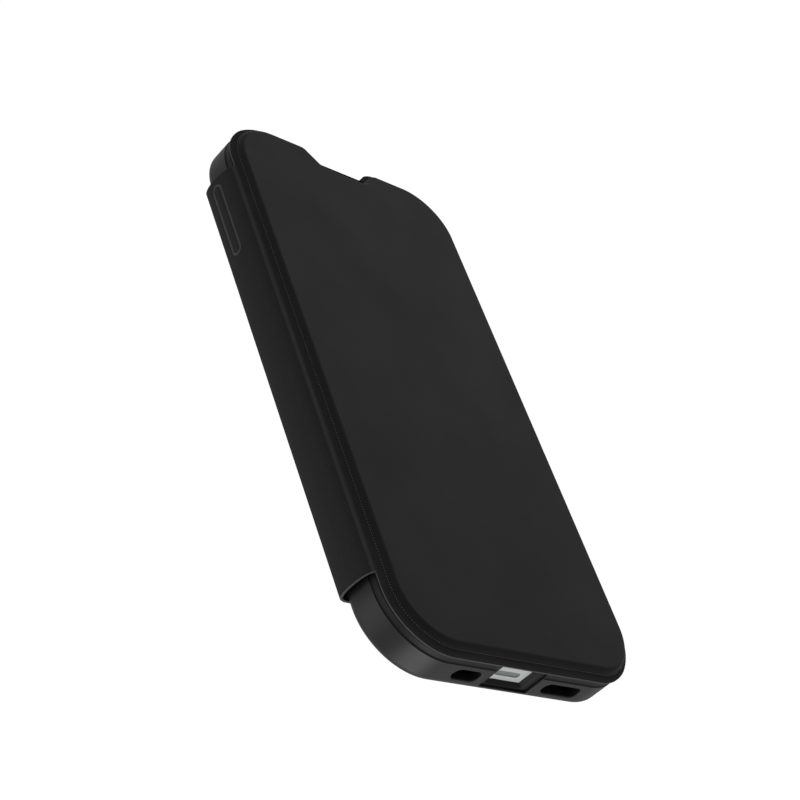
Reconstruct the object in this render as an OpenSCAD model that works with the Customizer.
// Folio wallet case for a phone, closed and lying on its back.
// A hard tray with a soft inner sleeve holds the phone. A cloth spine folds along the left edge
// and carries a thin cover with a raised front panel and a card pocket inside.
// X runs across the width, Y from the charging end to the earpiece end, Z from the back to the cover.

/* [Phone] */
// Width of the phone that the case holds
phone_w = 71.5; // [70:0.1:74]
// Length of the phone
phone_l = 146.7; // [144:0.1:150]
// Thickness of the phone
phone_t = 7.8; // [7.2:0.1:8.4]

/* [Shell] */
// Gap between the phone and the sleeve
phone_gap = 0.1; // [0.05:0.05:0.2]
// Thickness of the soft sleeve's wall
sleeve_t = 0.8; // [0.7:0.05:1]
// Thickness of the hard shell's wall
shell_t = 0.95; // [0.8:0.05:1.2]
// Thickness of the shell's back plate
plate_t = 1.1; // [1:0.1:1.6]
// Outer corner radius of the shell
shell_r = 15.5; // [14:0.5:17]
// Fillet between the shell's back and its wall
back_fillet = 2.4; // [1:0.1:2.6]
// Thickness of the sleeve's front lip
lip_t = 0.5; // [0.4:0.1:0.8]
// How far the lip reaches over the phone
lip_reach = 1.3; // [0.8:0.1:1.6]
// Half width of the dip in the lip at the earpiece end
dip_half = 13; // [12:0.5:15]
// Side of the square camera opening
camera_w = 31.5; // [28:0.5:32]
// Width of the charging recess in the shell
port_w = 14.7; // [13:0.1:16]
// Centre of the charging recess, from the middle of the width
port_x = -0.8; // [-1:0.1:1]

/* [Folio] */
// Thickness of the back flap
flap_t = 0.9; // [0.7:0.1:1.2]
// Width of the back flap
flap_w = 30; // [24:1:32]
// Length of the spine
spine_l = 115; // [108:1:118]
// Width of the cover
cover_w = 75; // [74:0.1:76]
// Length of the cover
cover_l = 150.8; // [150:0.1:152]
// Corner radius of the cover
cover_r = 15; // [13:0.5:16]
// Thickness of the raised front panel
panel_t = 1.1; // [0.8:0.1:1.4]
// Depth of the earpiece notch in the cover's top edge
notch_d = 4.8; // [4.2:0.1:5.2]
// Half width of the notch's floor, at the cover's outline
notch_half = 6.6; // [6:0.1:8]

/* [Card pocket] */
// Width of the pocket, for a 54 mm card
card_w = 56; // [55:0.5:57]
// Length of the pocket, for an 85.6 mm card
card_l = 88; // [87:0.5:90]
// Space for cards between the board and the lining
card_gap = 0.8; // [0.8:0.05:0.9]

/* [Buttons] */
// Length of the power button
power_l = 19; // [16:0.5:20]
// Length of each volume button
volume_l = 11; // [9:0.5:11]
// Height of the buttons
button_h = 3.6; // [3:0.1:3.8]
// How far the buttons stand out of the wall
button_proud = 0.45; // [0.3:0.05:0.5]

/* [Hidden] */
$fn = 96;
eps = 0.01;
slack = 0.02;

// Heights, from the back upwards
back_z = flap_t;
plate_top = back_z + plate_t;
lining_t = 0.2;
phone_z = plate_top + lining_t;
phone_top = phone_z + phone_t;
lip_top = phone_top + lip_t;
cover_gap = 0.2;
cover_z = lip_top + cover_gap;
lining_sheet_t = 0.4;
board_z = cover_z + lining_sheet_t + card_gap;
board_t = 0.3;
skin_z = board_z + board_t;
skin_t = 0.1;
panel_z = skin_z + skin_t;
top_z = panel_z + panel_t;
shell_top = phone_top - 1.3;
groove_h = 0.2;
lip_brim = 0.65;

// Outlines
bay_w = phone_w + 2 * phone_gap;
bay_l = phone_l + 2 * phone_gap;
sleeve_w = bay_w + 2 * sleeve_t;
sleeve_l = bay_l + 2 * sleeve_t;
shell_w = sleeve_w + 2 * shell_t;
shell_l = sleeve_l + 2 * shell_t;
sleeve_r = shell_r - shell_t;
bay_r = sleeve_r - sleeve_t;
wall_x = shell_w / 2;

// Spine: three thin layers on one gentle arc
spine_bow = 25;
spine_out = wall_x + 1.8;
spine_t = 0.95;
spine_z0 = 1.5;
spine_z1 = 9.9;
spine_mid = 5.2;

// Openings
cut_l = 8;
camera_r = 8.5;
camera_at = [16.2, 53.9];
ring_wall = 2;
port_floor = 2.9;
port_step_z = 0.65;
port_inner_w = port_w - 3.4;
port_inner_x = port_x - 0.3;
ledge_in = 0.65;
trim_edge = 0.8;
trim_out = 0.2;
trim_t = 0.3;
trim_h = 7.2;
slot_l = 7.4;
slot_h = 1.6;
slot_x = port_x - 1;
slot_z = 6.5;
slot_d = 0.2;
pill_h = 3.4;
pill_z = 5.65;
left_pill = [-18.2, -10.4];
right_pill = [9.4, 21];
switch_y = 42;
switch_l = 8;
power_y = 24;
volume_up_y = 29;
volume_down_y = 15.5;
button_gap = 0.2;
flange_w = 0.9;
flange_t = 0.45;

// Magnets in the cover, over steel strips in the lip
latch_y = [-36, 0, 36];
keeper_l = 14;
keeper_w = 0.9;
keeper_t = 0.25;
magnet_l = 16;
magnet_w = 2.6;
magnet_x = 32;

// Facing of the card pocket
pocket_l = card_l - 14;
pocket_y = -9;

// Moves the whole model so that its box is centred on the origin
box_shift = (spine_out - (wall_x + button_proud)) / 2;

// A rounded rectangle
module rounded(w, l, r) {
  square([w - 2 * r, l], center = true);
  square([w, l - 2 * r], center = true);
  for (x = [-1, 1], y = [-1, 1])
    translate([x * (w / 2 - r), y * (l / 2 - r)]) circle(r);
}

module slab(w, l, r, z0, z1) {
  translate([0, 0, z0]) linear_extrude(z1 - z0) rounded(w, l, r);
}

module at_place() {
  translate([box_shift, 0, 0]) children();
}

// A tray's outside: straight walls with a rolled edge all round the back
module rolled_block(w, l, r, f, z0, z1) {
  slab(w, l, r, z0 + f, z1);
  slab(w - 2 * f, l - 2 * f, r - f, z0, z0 + f + eps);
  for (x = [-1, 1], y = [-1, 1])
    translate([x * (w / 2 - r), y * (l / 2 - r), z0 + f])
      rotate_extrude() translate([r - f, 0]) circle(f);
  for (x = [-1, 1])
    translate([x * (w / 2 - f), l / 2 - r, z0 + f])
      rotate([90, 0, 0]) cylinder(r = f, h = l - 2 * r);
  for (y = [-1, 1])
    translate([r - w / 2, y * (l / 2 - f), z0 + f])
      rotate([0, 90, 0]) cylinder(r = f, h = w - 2 * r);
}

// A box with its lowest corner at p
module box_at(p, size) {
  translate(p) cube(size);
}

// A pill-shaped hole through the charging end, between two x values
module pill(span, depth) {
  r = pill_h / 2;
  for (x = [span[0] + r, span[1] - r])
    translate([x, -depth, pill_z])
      rotate([90, 0, 0]) cylinder(r = r, h = cut_l, center = true);
  box_at([span[0] + r, -depth - cut_l / 2, pill_z - r], [span[1] - span[0] - pill_h, cut_l, pill_h]);
}

module end_pills() {
  pill(left_pill, shell_l / 2);
  pill(right_pill, shell_l / 2);
}

// A hole through a side wall, side +1 on the right and -1 on the left
module side_slot(side, y, l, h) {
  translate([side * wall_x, y, pill_z]) rotate([0, 90, 0])
    linear_extrude(cut_l, center = true) rounded(h, l, h / 2 - eps);
}

module camera_hole(w, r, z0, z1) {
  translate([camera_at[0], camera_at[1], 0]) slab(w, w, r, z0, z1);
}

module button_slots(grow) {
  side_slot(1, power_y, power_l + 2 * grow, button_h + 2 * grow);
  side_slot(-1, volume_up_y, volume_l + 2 * grow, button_h + 2 * grow);
  side_slot(-1, volume_down_y, volume_l + 2 * grow, button_h + 2 * grow);
}

// Hard moulded tray: back plate and side wall in one
module outer_shell() {
  at_place() color("#2c2c2d") difference() {
    rolled_block(shell_w, shell_l, shell_r, back_fillet, back_z, shell_top);
    slab(sleeve_w, sleeve_l, sleeve_r, plate_top, top_z);
    camera_hole(camera_w, camera_r, 0, plate_top + 1);
    camera_hole(camera_w + 2 * ring_wall + 2 * slack, camera_r + ring_wall + slack, 0, back_z + 0.3);
    box_at([port_x - port_w / 2, -shell_l / 2 - 2, port_floor], [port_w, 2 + shell_t + eps, top_z]);
    end_pills();
    button_slots(button_gap);
    side_slot(-1, switch_y, switch_l, button_h);
  }
}

// Soft liner with the lip that holds the phone in
module inner_sleeve() {
  brim = 2 * lip_brim;
  ledge_y = -shell_l / 2 + ledge_in;
  at_place() color("#262627") difference() {
    union() {
      slab(sleeve_w - slack, sleeve_l - slack, sleeve_r, plate_top, shell_top);
      slab(sleeve_w + brim, sleeve_l + brim, sleeve_r + lip_brim, shell_top + groove_h, lip_top);
      slab(sleeve_w - 0.2, sleeve_l - 0.2, sleeve_r - 0.1, shell_top - 0.1, shell_top + groove_h + 0.1);
      box_at([port_x - port_w / 2 + slack, ledge_y, port_floor + slack],
             [port_w - 2 * slack, shell_t, lip_top - port_floor - slack]);
    }
    slab(bay_w, bay_l, bay_r, 0, phone_top);
    slab(bay_w - 2 * lip_reach, bay_l - 2 * lip_reach, bay_r - lip_reach, 0, top_z);
    box_at([port_inner_x - port_inner_w / 2, -shell_l / 2, port_floor + port_step_z],
           [port_inner_w, 5, top_z]);
    trim_box(0, 1.4);
    box_at([port_x - port_w / 2, ledge_y - 3, port_floor], [port_w, 3, top_z]);
    end_pills();
    button_slots(flange_w + button_gap);
    side_slot(-1, switch_y, switch_l - 1, button_h);
    keeper_bars(slack);
    lip_dip();
  }
}

// Dip in the lip under the cover's notch, which leaves the earpiece clear
module lip_dip() {
  translate([0, shell_l / 2 + 1, shell_top]) rotate([90, 0, 0]) linear_extrude(6)
    polygon([[-dip_half, 0], [dip_half, 0], [dip_half + 3, 3], [-dip_half - 3, 3]]);
}

// Thin microfibre pad inside the back
module back_lining() {
  at_place() color("#3b3b3d") difference() {
    slab(bay_w - 1, bay_l - 1, bay_r - 0.5, plate_top, phone_z);
    camera_hole(camera_w, camera_r, 0, phone_z + 1);
  }
}

// Raised rim round the cameras, level with the back flap
module camera_guard_ring() {
  at_place() color("#222223") difference() {
    camera_hole(camera_w + 2 * ring_wall, camera_r + ring_wall, 0, back_z + 0.3);
    camera_hole(camera_w, camera_r, -1, plate_top);
  }
}

// Outline of the back flap: narrow at the spine, wider behind the shell
module flap_outline(inset) {
  x0 = -wall_x + 1.8 + inset;
  x1 = x0 + flap_w - 2 * inset;
  wide = 66 - inset;
  r = 6;
  polygon([
    [x0, -spine_l / 2 + inset], [x0 + 4, -spine_l / 2 + inset], [x0 + 9, -wide], [x1 - r, -wide],
    [x1 - r, wide], [x0 + 9, wide], [x0 + 4, spine_l / 2 - inset], [x0, spine_l / 2 - inset]
  ]);
  translate([x1 - 2 * r, -wide + r]) square([2 * r, 2 * (wide - r)]);
  for (y = [-1, 1])
    translate([x1 - r, y * (wide - r)]) circle(r);
}

module back_flap() {
  at_place() color("#252526") linear_extrude(flap_t - 0.1) flap_outline(0);
}

module flap_adhesive() {
  at_place() color("#4b4a46") translate([0, 0, flap_t - 0.1]) linear_extrude(0.1) flap_outline(1);
}

// Cloth between the flap and the spine, drawn at rest
module back_fold_strip() {
  at_place() color("#252526")
    box_at([-wall_x, -spine_l / 2, 0], [1.8, spine_l, flap_t - 0.1]);
}

// Block of the port's trim, and the pocket for it in the sleeve
module trim_box(inset, depth) {
  w = port_inner_w + 2 * trim_edge - 2 * inset;
  box_at([port_inner_x - w / 2, -bay_l / 2 - trim_out, port_floor + port_step_z - 0.6 + inset],
         [w, depth, trim_h - 2 * inset]);
}

// Pale plate behind the charging recess, with a slot sunk in its face
module charging_port_trim() {
  straight = slot_l - slot_h;
  at_place() color("#d7dedc") difference() {
    trim_box(slack, trim_t);
    translate([slot_x, -bay_l / 2 - trim_out - 1, slot_z]) {
      box_at([-straight / 2, 0, -slot_h / 2], [straight, 1 + slot_d, slot_h]);
      for (x = [-1, 1])
        translate([x * straight / 2, 0, 0])
          rotate([-90, 0, 0]) cylinder(r = slot_h / 2, h = 1 + slot_d);
    }
  }
}

// Three steel strips moulded into the lip, which the cover's magnets pull on
module keeper_bars(grow) {
  for (y = latch_y)
    box_at([wall_x - 2.1 - grow, y - keeper_l / 2 - grow, phone_top + 0.1 - grow],
           [keeper_w + 2 * grow, keeper_l + 2 * grow, keeper_t + 2 * grow]);
}

module closure_keepers() {
  at_place() color("#8d8f92") keeper_bars(0);
}

// A key that stands out of the wall, with a flange behind the shell and a foot to press the phone
module key(side, y, l) {
  foot_x = wall_x - shell_t - sleeve_t + 0.4;
  rim = flange_w - 0.2;
  r = button_h / 2 - eps;
  mirror([side < 0 ? 1 : 0, 0, 0]) translate([foot_x, y, pill_z]) rotate([0, 90, 0]) {
    linear_extrude(wall_x + button_proud - foot_x) rounded(button_h, l, r);
    linear_extrude(flange_t - 0.1) rounded(button_h + 2 * rim, l + 2 * rim, r + rim);
  }
}

module power_button() {
  at_place() color("#303032") key(1, power_y, power_l);
}

module volume_up_button() {
  at_place() color("#303032") key(-1, volume_up_y, volume_l);
}

module volume_down_button() {
  at_place() color("#303032") key(-1, volume_down_y, volume_l);
}

// A layer of the spine between two depths below its outer face
module spine_layer(d0, d1, z0, z1, l) {
  at_place() intersection() {
    translate([-spine_out + spine_bow, 0, spine_mid]) rotate([90, 0, 0]) difference() {
      cylinder(r = spine_bow - d0, h = l, center = true, $fn = 360);
      cylinder(r = spine_bow - d1, h = l + 2, center = true, $fn = 360);
    }
    box_at([-spine_out - 1, -l / 2, z0], [4, l, z1 - z0]);
  }
}

module spine_skin() {
  color("#242425") spine_layer(0, 0.5, spine_z0, spine_z1, spine_l);
}

module spine_stiffener() {
  color("#6a655c") spine_layer(0.5, 0.75, spine_z0 + 0.6, spine_z1 - 0.6, spine_l - 3);
}

module spine_lining() {
  color("#39393b") spine_layer(0.75, spine_t, spine_z0 + 0.1, spine_z1 - 0.1, spine_l - 0.4);
}

// Outline of the cover, grown or shrunk, with the earpiece notch in its top edge
module cover_outline(grow) {
  w = cover_w + 2 * grow;
  l = cover_l + 2 * grow;
  side = tan(22.5) * grow;
  difference() {
    rounded(w, l, cover_r + grow);
    polygon([
      [-notch_half + side, l / 2 - notch_d], [notch_half - side, l / 2 - notch_d],
      [notch_half - side + notch_d + 1, l / 2 + 1], [-notch_half + side - notch_d - 1, l / 2 + 1]
    ]);
  }
}

module cover_sheet(grow, z0, z1) {
  translate([0, 0, z0]) linear_extrude(z1 - z0) cover_outline(grow);
}

// Cloth that turns from the spine onto the cover's left edge
module front_fold_strip() {
  at_place() color("#242425")
    box_at([-wall_x - 0.6, -spine_l / 2, cover_z + 0.1], [wall_x + 0.6 - cover_w / 2, spine_l, 1.1]);
}

// Cloth face of the cover, wrapped over the rim round the board
module cover_skin() {
  at_place() color("#212122") {
    cover_sheet(-0.5, skin_z, panel_z);
    difference() {
      cover_sheet(0, cover_z + lining_sheet_t, skin_z + eps);
      cover_sheet(-1.2, cover_z, skin_z + 1);
    }
  }
}

// Flat raised panel on the front, with a bevel all round and down the notch
module front_panel() {
  foot = -1.4;
  flat = -2.6;
  at_place() color("#2d2d2f") difference() {
    hull() {
      slab(cover_w + 2 * foot, cover_l + 2 * foot, cover_r + foot, panel_z, panel_z + eps, $fn = 64);
      slab(cover_w + 2 * flat, cover_l + 2 * flat, cover_r + flat, top_z - eps, top_z, $fn = 64);
    }
    hull() {
      notch_slice(foot, panel_z - eps);
      notch_slice(flat, top_z);
    }
  }
}

// A thin slice of the notch's inside, for an outline grown by grow
module notch_slice(grow, z) {
  half = notch_half - tan(22.5) * grow;
  floor_y = cover_l / 2 + grow - notch_d;
  translate([0, 0, z]) linear_extrude(eps) polygon([
    [-half, floor_y], [half, floor_y], [half + 3 * notch_d, floor_y + 3 * notch_d],
    [-half - 3 * notch_d, floor_y + 3 * notch_d]
  ]);
}

// Fine bead where the panel meets the cloth rim
module panel_welt() {
  at_place() color("#3a3a3c") difference() {
    cover_sheet(-1, panel_z, panel_z + 0.15);
    cover_sheet(-1.3, panel_z - 1, panel_z + 1);
  }
}

// Thin board that keeps the cover flat
module cover_board() {
  at_place() color("#5d594f") cover_sheet(-1.3, board_z, skin_z);
}

// Frame round the card space, with pockets for the magnets
module card_spacer() {
  at_place() color("#4e4b45") difference() {
    cover_sheet(-1.3, cover_z + lining_sheet_t, board_z);
    box_at([-card_w / 2 - 1, -card_l / 2, 0], [card_w, card_l, top_z]);
    magnet_bars(0);
  }
}

module magnet_bars(inset) {
  for (y = latch_y)
    box_at([magnet_x + inset, y - magnet_l / 2 + inset, cover_z + lining_sheet_t + inset],
           [magnet_w - 2 * inset, magnet_l - 2 * inset, card_gap - 2 * inset]);
}

module cover_magnets() {
  at_place() color("#9a9ca0") magnet_bars(slack);
}

// Inside face of the cover, cut away over the card space
module cover_lining() {
  at_place() color("#3f3f41") difference() {
    cover_sheet(0, cover_z, cover_z + lining_sheet_t);
    pocket_outline(0.15, -1, top_z);
    box_at([-card_w / 2 - 1, 0, 0], [card_w, card_l / 2, top_z]);
  }
}

// Where the pocket's facing lies: over the lower part of the card space and its three closed edges
module pocket_outline(grow, z0, z1) {
  translate([-1, pocket_y, 0]) slab(card_w + 5 + 2 * grow, pocket_l + 2 * grow, 3 + grow, z0, z1);
}

// Facing that holds the cards, with a thumb cut at its mouth
module pocket_panel() {
  at_place() color("#333335") difference() {
    pocket_outline(0, cover_z, cover_z + lining_sheet_t);
    translate([-1, pocket_y + pocket_l / 2 + 3, 0]) cylinder(r = 11, h = 3 * top_z, center = true);
  }
}

outer_shell();
inner_sleeve();
back_lining();
camera_guard_ring();
back_flap();
flap_adhesive();
back_fold_strip();
charging_port_trim();
closure_keepers();
power_button();
volume_up_button();
volume_down_button();
spine_skin();
spine_stiffener();
spine_lining();
front_fold_strip();
cover_skin();
front_panel();
panel_welt();
cover_board();
card_spacer();
cover_magnets();
cover_lining();
pocket_panel();
